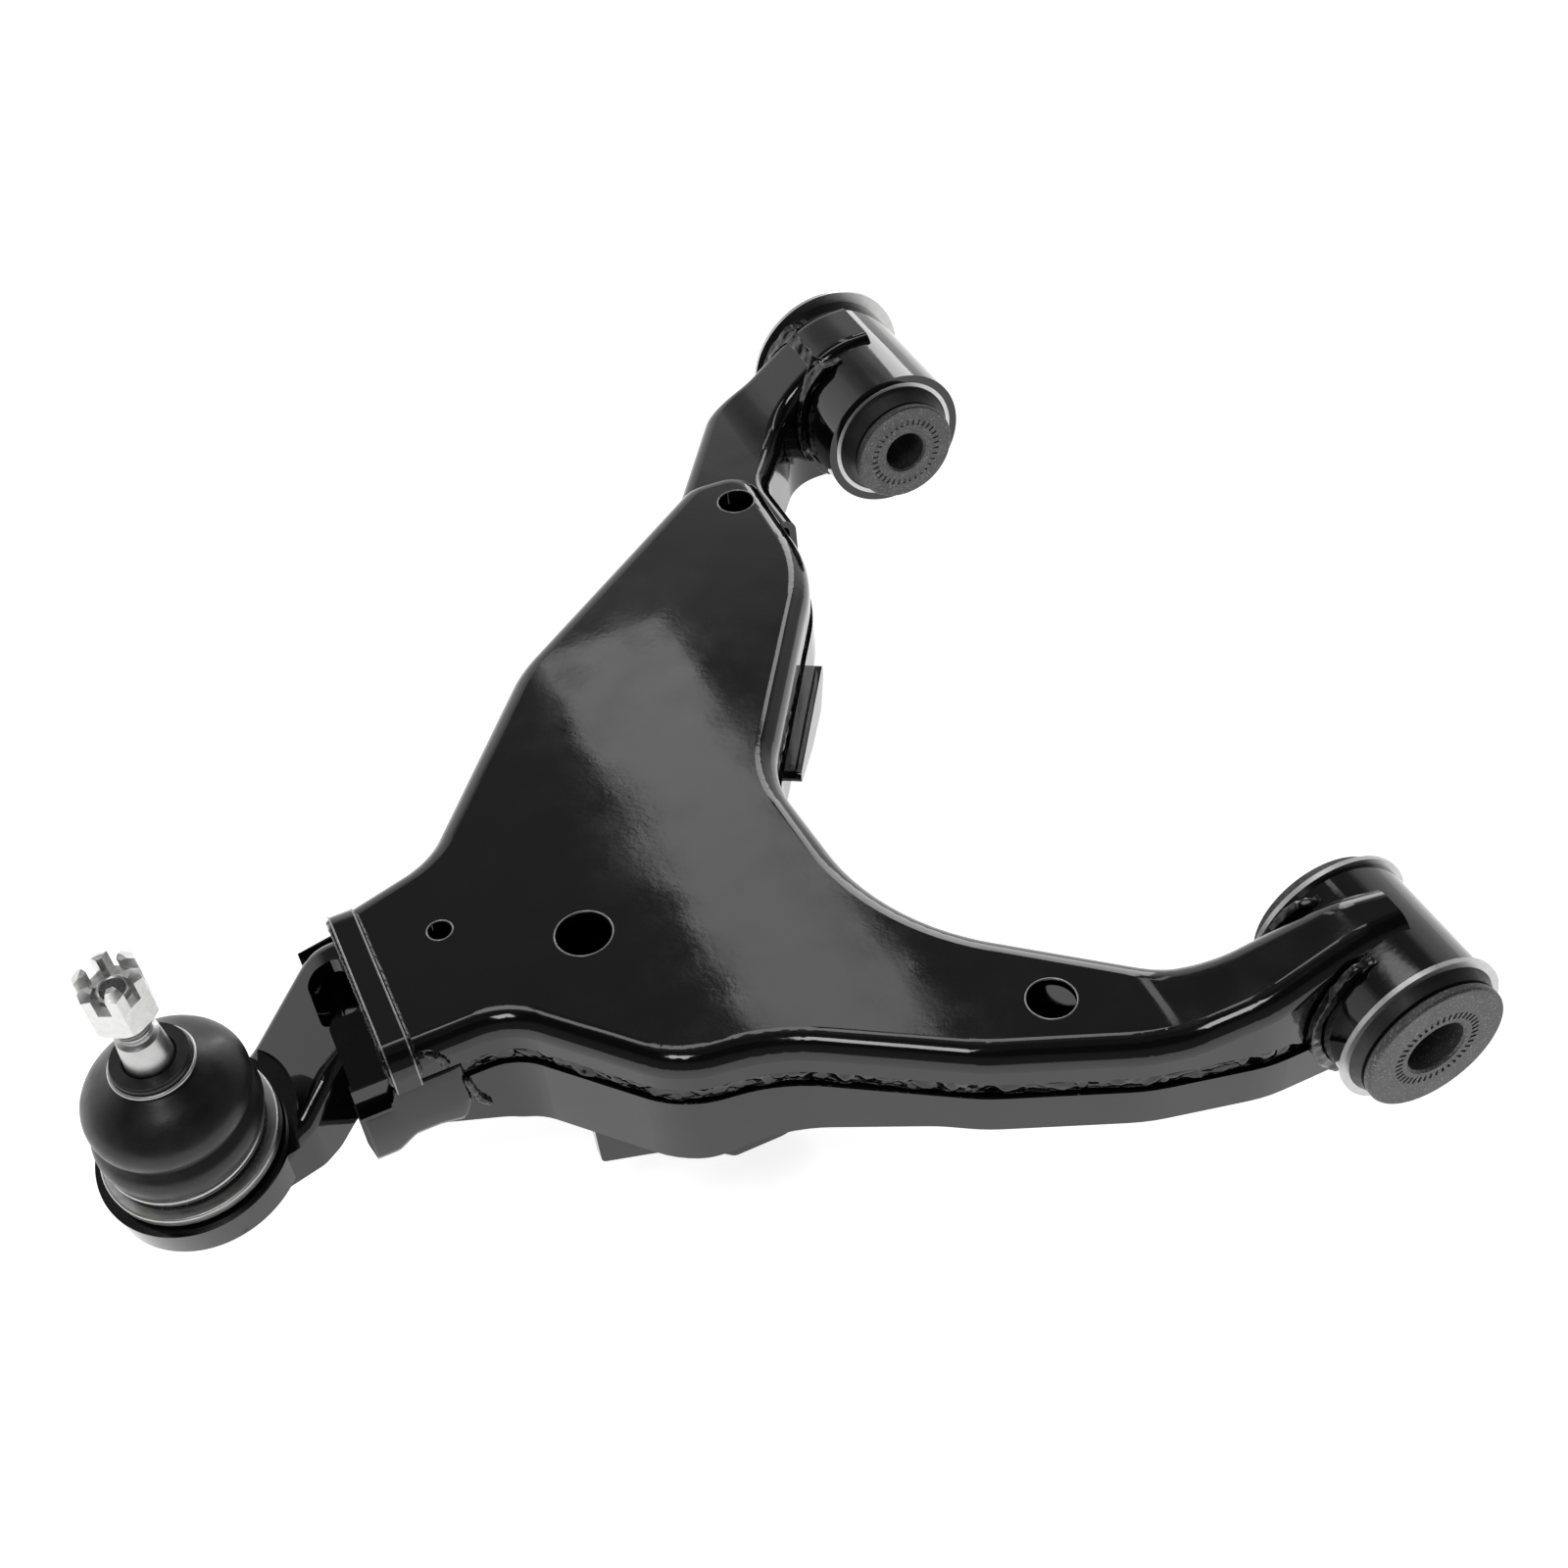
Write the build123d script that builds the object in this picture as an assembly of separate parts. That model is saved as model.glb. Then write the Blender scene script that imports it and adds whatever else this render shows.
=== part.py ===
from build123d import *
import math
import os

# A welded lower control arm.  The saved origin is the middle of the rear bush.
# +Y runs along the pivot axis towards the front bush, -X points at the ball
# joint and +Z is the side that the ball stud stands out of.  Millimetres.

# ---- driving dimensions: the pressed shells ----
SHEET = 3.5                    # thickness of every pressing
PLATE_TOP = 11.0               # height of the upper shell's flat top
SKIRT_END = -5.0               # lower edge of the upper shell's side wall
SHELF_TOP = -13.0              # top of the step in the lower shell's wall
RIM_TOP = -1.0                 # top of the lower shell's inner rim
DEEP_BOTTOM = -48.0            # underside at its deepest, over the damper bracket
MOUTH_BOTTOM = -33.0           # underside just behind the mouth
LIP_BOTTOM = -39.0             # underside of the lip in front of the mouth
LEG_BOTTOM = -32.0             # underside of the rear leg
NOSE_BOTTOM = -38.0            # underside towards the front leg
TOP_RADIUS = 9.0
MOUTH_X = -346.0
LIP_OUT = 16.0                 # how far the lower shell reaches past the mouth
MOUTH_NEAR_Y = 124.0
MOUTH_FAR_Y = 208.0
LEG_END_X = 6.0
NOSE_SKIRT_Y = 350.0           # the shells' side walls stop here
LIFT_START = -78.0             # X where the legs start to climb to their tubes
LIFT_END = -14.0
FRONT_LIFT_START = -58.0
LIFT_RADIUS = 40.0
FAR_BELOW = -120.0             # beyond the underside, for cutting tools
FAR_ABOVE = 80.0
FAR_LEFT = -420.0
FAR_RIGHT = 60.0
WIDER_THAN_ALL = 700.0
BEYOND = 40.0
WALL_STEP = 0.5                # the lower shell's wall stands this far outside the outline
NEST_GAP = 0.1                 # between one wall and the wall inside it
CUT_DEPTH = 60.0               # reach of a cutter either side of an eye tube's middle
FACING_UP = 0.7                # a normal's Z on a top face
FACING_OUT = 0.2               # a normal's Z on a side wall
NOSE_X = (-150.0, -40.0)       # around the shells' nose, where it laps the front leg
NOSE_END = 420.0

# ---- driving dimensions: eye tubes and bushes ----
REAR_Y = 0.0
REAR_TUBE_R = 31.8
REAR_TUBE_ENDS = (-31.5, 23.0)   # the rear tube's ends along Y
REAR_FLANGE_R = 34.0
REAR_FACES = (-43.0, 31.0)       # the rear bush's clamped faces along Y
ORIGIN_Y = sum(REAR_FACES) / 2   # the lengths in this file are measured from the rear eye
REAR_DISC_R = 29.2
REAR_NECK_R = 18.5
REAR_BORE_R = 12.0
REAR_TOOTH_R = 15.0            # where the radial marks start
REAR_TEETH = 40
FRONT_Y = 430.0
FRONT_TUBE_R = 35.6
FRONT_TUBE_ENDS = (392.5, 471.0)
FRONT_FLANGE_R = 41.0
FRONT_FACES = (379.0, 481.0)
FRONT_DISC_R = 25.7
FRONT_NECK_R = 17.0
FRONT_BORE_R = 10.25
FRONT_TOOTH_R = 15.6
FRONT_TEETH = 34
TUBE_WALL = 4.0
SLEEVE_WALL = 2.0
FLANGE_THICK = 2.0
DISC_THICK = 4.0
DISC_ROUND = 1.2
TOOTH_DEPTH = 0.6
TOOTH_WIDTH = 1.1
TOOTH_LENGTH = 3.0
BORE_CHAMFER = 1.0
# a bush's lips: root radius, tip radius and how far they reach at the near and far end
REAR_LIP = (31.0, 29.0, (4.5, 1.4))
FRONT_LIP = (29.0, 25.5, (8.5, 5.5))
RUN_GAP = 0.05                 # running clearance between rubber and inner sleeve
TONGUE_LAP = 3.2               # height of a leg's top above its tube

# ---- driving dimensions: ball joint, measured from the ball's centre ----
BALL = (-422.0, 152.0, -26.0)
HOUSING_LEAN = (7.0, -6.5, 0.0)   # degrees about X, Y and Z
STUD_LEAN = (3.2, -1.2, 0.0)
BALL_R = 15.0
LINER_R = 17.6
RACE_R = 22.0
RACE_TOP = 7.0
RACE_BOTTOM = -18.6
SPRING_THICK = 2.2
SPHERE_GAP = 0.35
HOUSING_R = 31.0
HOUSING_TOP = 10.0
HOUSING_BOTTOM = -24.0
HOUSING_CHAMFER = 5.0
HOUSING_MOUTH_R = 20.0
HOUSING_NECK = 5.0             # height of the rim above the ring
GROOVE_WIDTH = 3.0             # seat of the boot's lower wire ring
GROOVE_DEPTH = 2.0
COVER_R = 24.0
RING_ROUND = 1.0
SPRING_R = 18.0
SPRING_HOLE_R = 11.0
LINER_OPENS = 5.0              # the liner is cut off this far above the ball's centre
LINER_ENDS = -11.0
RING_R = 35.2
RING_THICK = 4.0
CUP_R = 39.0
CUP_TOP = 4.0
CUP_BOTTOM = -12.0
CUP_CHAMFER = 3.0
RING_ROOM_R = 43.0             # clear space above the cup, round the ring
THREAD_R = 7.0
TAPER_BASE_R = 10.6
TAPER_TOP_R = 8.2
STUD_TOP = 103.5
TAPER_TOP = 76.0
TAPER_BASE = 46.0
COLLAR_HEIGHT = 58.0
COLLAR_R = 15.8
COLLAR_FOOT = 56.4
COLLAR_TOP = 62.0
WIRE_R = 0.9
NUT_FLATS = 22.0
NUT_BOTTOM = 89.0
NUT_HEX = 13.0
NUT_HEIGHT = 23.0
NUT_SLOTS = 6
NUT_SLOT_WIDTH = 5.0
NUT_TURN = 33.0                # how far the nut happens to be screwed round
NUT_FOOT_CUT = 1.3
NUT_TOP_CUT = 2.6
RELIEF_DEPTH = 0.8             # of the groove between thread and taper
RELIEF_WIDTH = 3.0
COVER_THICK = 3.0
NECK_R = 9.0
PIN_HOLE_Z = 100.5
PIN_HOLE_R = 1.6
CLAMP_R = 30.6
CLAMP_HEIGHT = 17.0
CLAMP_WIRE_R = 1.1
BOOT_FOOT = 15.0
BOOT_HEAD = 56.0
BOOT_WALL = 2.0
# (share of the way up, radius) of the boot's outline
BOOT = [(0.0, 30.8), (0.05, 30.4), (0.15, 32.6), (0.3, 33.0), (0.42, 29.5), (0.47, 29.5)]
BOOT += [(0.58, 31.8), (0.72, 30.2), (0.86, 24.8), (0.96, 17.2), (1.0, 14.8)]

# ---- driving dimensions: carrier, mouth strap and tab ----
CARRIER_BOTTOM = -38.0
CARRIER_ROOT_BOTTOM = -29.0    # the carrier's underside inside the mouth
CARRIER_WALL = 6.0
CARRIER_ROUND = 6.0
BAND_WIDTH = 10.0
BAND_THICK = 2.5
TAB_OUT = 15.0
TAB_WIDE = 31.0
TAB_Y = 140.5
TAB_Z = 3.4
TAB_LEAN = 28.0
TAB_CORNER = 4.0
WELD = 5.0
WELD_STOPS_BELOW = 2.0         # the eye welds end this far under a tube's crown
FRONT_SEAM_Z = -4.0
FRONT_LEG_BOTTOM = -34.0
FRONT_LEG_ROUND = 7.0

# ---- driving dimensions: damper bracket under the arm ----
EAR_NEAR_Y = 104.0
EAR_THICK = 5.0
EAR_GAP = 45.0
EAR_HOLE_R = 9.25
EAR_HOLE = (-214.5, -86.0)
WEB_HEIGHT = 10.0

EAR = [
    (-280, -25, 0),
    (-280, -71, 3),
    (-262, -78, 20),
    (-243, -86, 25),
    (-225, -104, 4),
    (-202, -104, 12),
    (-186, -97, 10),
    (-166, -25, 0),
]

# ---- side views: X or Y, Z and corner radius ----
BELLY_SIDE = [
    (FAR_LEFT, LIP_BOTTOM, 0),
    (-353, LIP_BOTTOM, 4),
    (-345, MOUTH_BOTTOM, 4),
    (-334, MOUTH_BOTTOM, 10),
    (-303, DEEP_BOTTOM, 10),
    (-245, DEEP_BOTTOM, 40),
    (-165, LEG_BOTTOM, 40),
    (FAR_RIGHT, LEG_BOTTOM, 0),
    (FAR_RIGHT, FAR_ABOVE, 0),
    (FAR_LEFT, FAR_ABOVE, 0),
]
BELLY_ALONG = [
    (-60, DEEP_BOTTOM, 0),
    (215, DEEP_BOTTOM, 40),
    (300, NOSE_BOTTOM, 40),
    (480, NOSE_BOTTOM, 0),
    (480, FAR_ABOVE, 0),
    (-60, FAR_ABOVE, 0),
]
LIP_SLOPE = [
    (MOUTH_X - LIP_OUT - 1, -24, 0),
    (MOUTH_X - 4, FAR_BELOW, 0),
    (FAR_LEFT, FAR_BELOW, 0),
    (FAR_LEFT, -24, 0),
]
CARRIER_SIDE = [
    (-470, CARRIER_BOTTOM, 0),
    (-470, -23, 0),
    (-402, -23, 20),
    (-354, PLATE_TOP - SHEET - 0.5, 20),
    (-300, PLATE_TOP - SHEET - 0.5, 0),
    (-300, CARRIER_ROOT_BOTTOM, 0),
    (-354, CARRIER_ROOT_BOTTOM, 10),
    (-372, CARRIER_BOTTOM, 10),
]
CARRIER_CORE_SIDE = [
    (-470, -60, 0),
    (-470, -31, 0),
    (-400, -31, 14),
    (-352, 0, 14),
    (-200, 0, 0),
    (-200, -60, 0),
]
WINDOW_X = (-363.0, -346.0)    # the hole through the carrier's web
WINDOW_Y = (158.0, 188.0)
WINDOW_LOW = -12.0
WINDOW_CORNER = 6.0
GUSSET_FOOT = (-118.0, 255.0)  # on the inner wall
GUSSET_TURN = 57.2             # degrees from X to the wall's direction
GUSSET_OUT = 5.5
GUSSET = [
    (-38, -24, 3),
    (35, -24, 2),
    (35, -31, 2),
    (22, -41, 6),
    (-6, -38, 20),
    (-38, -29, 2),
]

# ---- the arm's outline seen from above: corner X, corner Y, corner radius ----
OUTLINE = [
    (MOUTH_X, MOUTH_NEAR_Y, 0),
    (-299, MOUTH_NEAR_Y, 26),
    (-251, 70, 44),
    (-214, 65, 76),
    (-150, 22, 80),
    (-95, -3, 80),
    (-50, -14, 60),
    (LEG_END_X, -14, 0),
    (LEG_END_X, 11, 0),
    (-60, 22, 60),
    (-151, 102, 105),
    (-156, 197, 60),
    (-82, 312, 90),
    (-78, 396, 16),
    (-110, 398, 20),
    (-229, 312, 70),
    (-301, 221, 40),
    (MOUTH_X, MOUTH_FAR_Y, 0),
]
TOP_HOLES = [(-258, 149, 11.3), (-308, 178, 4.9), (-115, 35, 9.4), (-95, 372, 8.6)]
BELLY_HOLES = [(-258, 149, 14.0), (-115, 35, 9.4), (-140, 290, 8.0)]
CARRIER = [
    (-446, 120, 20),
    (-415, 114, 4),
    (-400, 125, 8),
    (-380, 130, 12),
    (-362, 142, 20),
    (-318, 149, 0),
    (-318, 200, 0),
    (-358, 200, 20),
    (-392, 180, 20),
    (-446, 184, 20),
]
FRONT_LEG = [
    (-119, 330, 0),
    (-119, 391, 14),
    (-70, 463, 36),
    (LEG_END_X, 463, 0),
    (LEG_END_X, 426, 0),
    (-42, 426, 26),
    (-74, 384, 22),
    (-74, 330, 0),
]


def plan_face(corners, inset=0.0, mouth_extra=0.0, end_extra=0.0):
    """The outline as a face; its open ends can be run on past the metal."""
    points = []
    for x, y, radius in corners:
        if x == MOUTH_X:
            x = x - mouth_extra
        if x == LEG_END_X:
            x = x + end_extra
        points.append((x, y, radius))
    line = FilletPolyline([(x, y) for x, y, _ in points], radius=[r for _, _, r in points], close=True)
    face = make_face(line)
    if inset:
        face = offset(face, amount=-inset, kind=Kind.INTERSECTION)
    return face


def prism(face, low, high):
    """A plan face turned into a block between two heights."""
    return extrude(Pos(0, 0, low) * face, high - low)


def side_block(corners, normal):
    """A block wider than the arm whose side view has the given corners: along, Z, radius."""
    points = [(along, z) for along, z, _ in corners]
    line = FilletPolyline(points, radius=[radius for _, _, radius in corners], close=True)
    plane = Plane.XZ if normal == "Y" else Plane.YZ
    return extrude(plane * make_face(line), WIDER_THAN_ALL, both=True)


def lift_block(flat, crest, drop=0.0, start=LIFT_START):
    """Everything under a top that is flat, then climbs to a tube's crown."""
    corners = [(FAR_LEFT, FAR_BELOW, 0), (FAR_LEFT, flat - drop, 0), (start, flat - drop, LIFT_RADIUS)]
    corners += [(LIFT_END, crest - drop, LIFT_RADIUS), (FAR_RIGHT, crest - drop, 0)]
    corners += [(FAR_RIGHT, FAR_BELOW, 0)]
    return side_block(corners, "Y")


def lifted(corners, lift):
    """The same side view with its underside raised."""
    return [(along, z if z == FAR_ABOVE else z + lift, radius) for along, z, radius in corners]


def belly_block(lift=0.0):
    """Everything above the underside, deep at the mouth and shallow at the legs."""
    return side_block(lifted(BELLY_SIDE, lift), "Y") & side_block(lifted(BELLY_ALONG, lift), "X")


def y_tube(centre_y, half, outer, inner=0.0):
    """A tube along the pivot axis."""
    tube = Cylinder(outer, 2 * half, rotation=(90, 0, 0))
    if inner:
        tube -= Cylinder(inner, 2 * half, rotation=(90, 0, 0))
    return Pos(0, centre_y, 0) * tube


def z_hole(x, y, radius):
    return Pos(x, y, 0) * Cylinder(radius, 2 * (FAR_ABOVE - FAR_BELOW))


def box_between(low, high):
    size = [b - a for a, b in zip(low, high)]
    middle = [(a + b) / 2 for a, b in zip(low, high)]
    return Pos(*middle) * Box(*size)


def soften(shape, edges, radii):
    """Fillet the edges with the first radius that the corner can take."""
    for radius in radii:
        try:
            return fillet(edges, radius)
        except ValueError:
            continue
    return shape


def is_free_rim(edge):
    """True for rims that follow the outline, false at the mouth and leg ends."""
    box = edge.bounding_box()
    at_mouth = box.max.X < MOUTH_X + 1 and box.min.X > MOUTH_X - 30
    at_end = box.min.X > LEG_END_X - 1
    return not at_mouth and not at_end


def crown_edges(solid):
    """Edges where the outline's walls meet the top."""
    found = ShapeList()
    for edge in solid.edges():
        normals = [f.normal_at(edge @ 0.5).Z for f in solid.faces() if edge in f.edges()]
        top_meets_wall = len(normals) == 2 and max(normals) > FACING_UP and min(normals) < FACING_OUT
        if top_meets_wall and is_free_rim(edge):
            found.append(edge)
    return found


# ---- the pressed shells ----
def upper_skin(mouth_extra=0.0):
    """The upper shell's outside as a solid block."""
    block = prism(plan_face(OUTLINE, 0, mouth_extra), SKIRT_END, FAR_ABOVE)
    block &= lift_block(PLATE_TOP, REAR_TUBE_R + TONGUE_LAP)
    return soften(block, crown_edges(block), (TOP_RADIUS, TOP_RADIUS / 2))


def nose_room(top):
    """The space round the nose that the front leg fills, up to a height."""
    return box_between((NOSE_X[0], NOSE_SKIRT_Y, FAR_BELOW), (NOSE_X[1], NOSE_END, top))


def upper_shell():
    """A pan with its mouth downwards, whose nose laps over the front leg."""
    crest = REAR_TUBE_R + TONGUE_LAP
    skin = upper_skin()
    inner_face = plan_face(OUTLINE, SHEET, 20, 20)
    hollow = prism(inner_face, FAR_BELOW, FAR_ABOVE) & lift_block(PLATE_TOP, crest, SHEET)
    hollow = soften(hollow, crown_edges(hollow), (TOP_RADIUS - SHEET, 2))
    shell = skin - hollow
    shell -= nose_room(PLATE_TOP - SHEET)
    shell -= y_tube(REAR_Y, CUT_DEPTH, REAR_TUBE_R)
    for x, y, radius in TOP_HOLES:
        shell -= z_hole(x, y, radius)
    return shell


def lower_shell():
    """A pan with its mouth upwards; its rim steps in to sit inside the upper shell."""
    nested = SHEET + NEST_GAP
    wide = prism(plan_face(OUTLINE, -WALL_STEP, LIP_OUT), FAR_BELOW, SHELF_TOP) & belly_block()
    rim = prism(plan_face(OUTLINE, nested, LIP_OUT + SHEET), SHELF_TOP - SHEET, RIM_TOP)
    hollow = prism(plan_face(OUTLINE, SHEET - WALL_STEP, BEYOND, BEYOND), FAR_BELOW, SHELF_TOP - SHEET)
    hollow &= belly_block(SHEET)
    throat = prism(plan_face(OUTLINE, SHEET + nested, BEYOND, BEYOND), SHELF_TOP - 2 * SHEET, FAR_ABOVE)
    shell = wide + rim - hollow - throat
    shell -= side_block(LIP_SLOPE, "Y")
    shell -= nose_room(FAR_ABOVE)
    shell -= y_tube(REAR_Y, CUT_DEPTH, REAR_TUBE_R)
    for x, y, radius in BELLY_HOLES:
        shell -= z_hole(x, y, radius)
    return shell


def front_leg_block(inset=0.0, end_extra=0.0):
    """The front leg as a solid bar, from the shells' nose to the front tube."""
    crest = FRONT_TUBE_R + TONGUE_LAP
    top = lift_block(PLATE_TOP - SHEET, crest, inset, FRONT_LIFT_START)
    low = FRONT_LEG_BOTTOM + inset
    bar = prism(plan_face(FRONT_LEG, inset, 0, end_extra), low, FAR_ABOVE) & top
    return soften(bar, crown_edges(bar), (FRONT_LEG_ROUND - inset, FRONT_LEG_ROUND / 3))


def front_leg(upper):
    """One half of the front leg's box section."""
    tube = front_leg_block() - front_leg_block(SHEET, BEYOND)
    start = NOSE_SKIRT_Y + NEST_GAP
    low, high = (FRONT_SEAM_Z, FAR_ABOVE) if upper else (FAR_BELOW, FRONT_SEAM_Z)
    keep = box_between((NOSE_X[0], start, low), (LEG_END_X, FRONT_Y + BEYOND, high))
    leg = (tube & keep) - y_tube(FRONT_Y, CUT_DEPTH, FRONT_TUBE_R)
    return leg - z_hole(*TOP_HOLES[-1]) if upper else leg


def shell_seam_weld():
    """The bead that fills the groove between the two shells' walls."""
    ring = prism(plan_face(OUTLINE), SHELF_TOP, SKIRT_END)
    ring -= prism(plan_face(OUTLINE, SHEET + NEST_GAP, BEYOND, BEYOND), SHELF_TOP - 1, SKIRT_END + 1)
    return ring - nose_room(FAR_ABOVE) - y_tube(REAR_Y, CUT_DEPTH, REAR_TUBE_R)


def tube_weld(bar, centre_y, radius, wide_face):
    """The bead round the joint between a leg and its eye tube."""
    bead = y_tube(centre_y, CUT_DEPTH, radius + WELD, radius)
    fat = prism(wide_face, FAR_BELOW, FAR_ABOVE)
    low = (-FAR_RIGHT, centre_y - CUT_DEPTH, -radius - WELD)
    high = (LEG_END_X, centre_y + CUT_DEPTH, radius - WELD_STOPS_BELOW)
    return (bead & fat & box_between(low, high)) - bar


def rear_leg_block():
    """The rear leg as a solid bar, as the two shells enclose it."""
    return outline_block() & belly_block()


def outline_block():
    """Everything inside the lower shell's outer wall."""
    return prism(plan_face(OUTLINE, -WALL_STEP), FAR_BELOW, FAR_ABOVE)


def mouth_band():
    """A strap over the mouth, with its ends turned down the side walls."""
    low = (MOUTH_X, MOUTH_NEAR_Y - BAND_THICK, SKIRT_END)
    high = (MOUTH_X + BAND_WIDTH, MOUTH_FAR_Y + BAND_THICK, PLATE_TOP + BAND_THICK)
    block = box_between(low, high)
    corners = block.edges().filter_by(Axis.X).group_by(Axis.Z)[-1]
    block = fillet(corners, TOP_RADIUS + BAND_THICK)
    return block - upper_skin(BEYOND)


def shell_tab():
    """A short plate that leans out of the mouth and stiffens its near corner."""
    plate = Box(TAB_OUT, TAB_WIDE, SHEET)
    plate = fillet(plate.edges().filter_by(Axis.Z), TAB_CORNER)
    plate = Pos(MOUTH_X - TAB_OUT / 2, TAB_Y, TAB_Z) * Rot(TAB_LEAN, 0, 0) * plate
    plate = plate - ball_joint_carrier() - lower_shell()
    return plate.solids().sort_by(SortBy.VOLUME)[-1]


# ---- the ball joint ----
def housing_place(shape):
    """From the housing's own frame, with its axis up, to its place in the arm."""
    return Location(BALL, HOUSING_LEAN) * shape


def stud_place(shape):
    return Location(BALL, STUD_LEAN) * shape


def turned(profile):
    """A solid of revolution about Z from (radius, height) corners."""
    return revolve(Plane.XZ * make_face(Polyline(profile, close=True)), Axis.Z)


def ball_joint_carrier():
    """A forged channel that holds the ball joint's housing and runs into the mouth."""
    line = FilletPolyline([(x, y) for x, y, _ in CARRIER], radius=[r for _, _, r in CARRIER], close=True)
    solid = prism(make_face(line), FAR_BELOW, FAR_ABOVE) & side_block(CARRIER_SIDE, "Y")
    solid = soften(solid, crown_edges(solid), (CARRIER_ROUND, CARRIER_ROUND / 2))
    core = offset(make_face(line), amount=-CARRIER_WALL, kind=Kind.INTERSECTION)
    solid -= prism(core, FAR_BELOW, FAR_ABOVE) & side_block(CARRIER_CORE_SIDE, "Y")
    cup = Pos(0, 0, (CUP_TOP + CUP_BOTTOM) / 2) * Cylinder(CUP_R, CUP_TOP - CUP_BOTTOM)
    cup = chamfer(cup.edges().group_by(Axis.Z)[0], CUP_CHAMFER)
    solid += housing_place(cup)
    solid -= housing_place(Cylinder(HOUSING_R, -2 * FAR_BELOW))
    solid -= housing_place(Pos(0, 0, CUP_TOP + FAR_ABOVE / 2) * Cylinder(RING_ROOM_R, FAR_ABOVE))
    window = box_between((WINDOW_X[0], WINDOW_Y[0], WINDOW_LOW), (WINDOW_X[1], WINDOW_Y[1], FAR_ABOVE))
    window = fillet(window.edges().filter_by(Axis.Z), WINDOW_CORNER)
    return solid - window


def ball_housing():
    """The pressed-in cup of the ball joint, with its flange ring above the carrier."""
    rim = HOUSING_TOP + HOUSING_NECK
    body = Pos(0, 0, (rim + HOUSING_BOTTOM) / 2) * Cylinder(HOUSING_R, rim - HOUSING_BOTTOM)
    body = chamfer(body.edges().group_by(Axis.Z)[0], HOUSING_CHAMFER)
    body -= Pos(0, 0, BEYOND / 2) * Cylinder(HOUSING_MOUTH_R, BEYOND)
    body -= Pos(0, 0, (RACE_TOP + HOUSING_BOTTOM) / 2) * Cylinder(RACE_R, RACE_TOP - HOUSING_BOTTOM)
    body -= Pos(0, 0, HOUSING_BOTTOM + COVER_THICK / 2) * Cylinder(COVER_R, COVER_THICK)
    groove = Cylinder(HOUSING_R + 1, GROOVE_WIDTH) - Cylinder(HOUSING_R - GROOVE_DEPTH, GROOVE_WIDTH)
    body -= Pos(0, 0, HOUSING_TOP + HOUSING_NECK / 2) * groove
    return housing_place(body)


def housing_ring():
    """The bright flange ring that the housing is seated by."""
    ring = Cylinder(RING_R, RING_THICK) - Cylinder(HOUSING_R, RING_THICK)
    top_rims = ring.edges().filter_by(GeomType.CIRCLE).group_by(Axis.Z)[-1]
    ring = fillet(top_rims.sort_by(SortBy.RADIUS)[-1:], RING_ROUND)
    return housing_place(Pos(0, 0, HOUSING_TOP - RING_THICK / 2) * ring)


def housing_cover():
    """The plate that closes the housing from below, rolled in under its rim."""
    return housing_place(Pos(0, 0, HOUSING_BOTTOM + COVER_THICK / 2) * Cylinder(COVER_R, COVER_THICK))


def bearing_shell():
    """The fixed plastic shell that the liner turns in."""
    shell = Pos(0, 0, (RACE_TOP + RACE_BOTTOM) / 2) * Cylinder(RACE_R, RACE_TOP - RACE_BOTTOM)
    shell -= Sphere(LINER_R + SPHERE_GAP)
    shell -= Pos(0, 0, BEYOND / 2) * Cylinder(HOUSING_MOUTH_R, BEYOND)
    return housing_place(shell)


def preload_spring():
    """A wave washer between the cover and the bearing shell."""
    height = HOUSING_BOTTOM + COVER_THICK + SPRING_THICK / 2
    washer = Cylinder(SPRING_R, SPRING_THICK) - Cylinder(SPRING_HOLE_R, SPRING_THICK)
    return housing_place(Pos(0, 0, height) * washer)


def ball_liner():
    """The slip liner that swings with the ball."""
    liner = Sphere(LINER_R) - Sphere(BALL_R + SPHERE_GAP)
    liner -= Pos(0, 0, LINER_OPENS + BEYOND / 2) * Cylinder(BEYOND, BEYOND)
    liner -= Pos(0, 0, LINER_ENDS - BEYOND / 2) * Cylinder(BEYOND, BEYOND)
    return stud_place(liner)


def ball_stud():
    """Ball, neck, taper and plain shank; the thread's turns are left out."""
    relief_r = THREAD_R - RELIEF_DEPTH
    profile = [(0, 0), (0, STUD_TOP), (THREAD_R - 1, STUD_TOP), (THREAD_R, STUD_TOP - 1)]
    profile += [(THREAD_R, TAPER_TOP + RELIEF_WIDTH), (relief_r, TAPER_TOP + RELIEF_WIDTH)]
    profile += [(relief_r, TAPER_TOP), (TAPER_TOP_R, TAPER_TOP), (TAPER_BASE_R, TAPER_BASE)]
    profile += [(NECK_R, TAPER_BASE - 2), (NECK_R, 0)]
    stud = turned(profile) + Sphere(BALL_R)
    pin_hole = Pos(0, 0, PIN_HOLE_Z) * Cylinder(PIN_HOLE_R, 3 * THREAD_R, rotation=(0, 90, 0))
    return stud_place(stud - pin_hole)


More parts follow.
